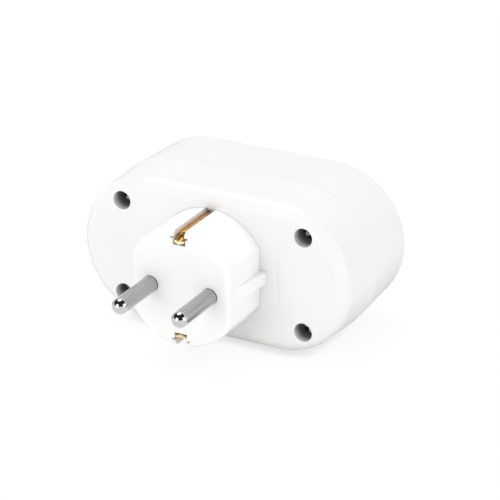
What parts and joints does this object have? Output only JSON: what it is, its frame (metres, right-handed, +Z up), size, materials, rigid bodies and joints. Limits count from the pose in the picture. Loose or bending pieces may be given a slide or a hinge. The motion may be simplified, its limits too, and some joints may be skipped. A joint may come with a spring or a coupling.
{
  "type": "multi socket adapter",
  "caption": "Flat round-ended mains adapter: an earthed round-pin plug on the back, round socket wells side by side on the front, in a screwed white moulded case.",
  "frame": {"origin": "on the plug's axis in the plane of the rear face", "axes": "+X along the row of wells, +Y out of the wells, -Y along the plug's pins, +Z up across the flat sides"},
  "size_m": [0.088, 0.0769, 0.0468],
  "materials": {
    "housing": "white satin moulding",
    "pins": "bright nickel plate",
    "contacts": "stamped brass",
    "earth": "spring bronze",
    "screws": "dark zinc plate"
  },
  "bodies": {
    "root": {"rear_housing": "housing", "plug_nose": "housing", "front_housing": "housing", "live_pin": "pins", "neutral_pin": "pins", "live_bar": "contacts", "neutral_bar": "contacts", "live_contact_left": "contacts", "live_contact_right": "contacts", "neutral_contact_left": "contacts", "neutral_contact_right": "contacts", "contact_rivets": "contacts", "plug_earth_strap": "earth", "earth_bar": "earth", "earth_clip_left": "earth", "earth_clip_right": "earth", "earth_rivets": "earth", "housing_screws": "screws"}
  },
  "joints": []
}
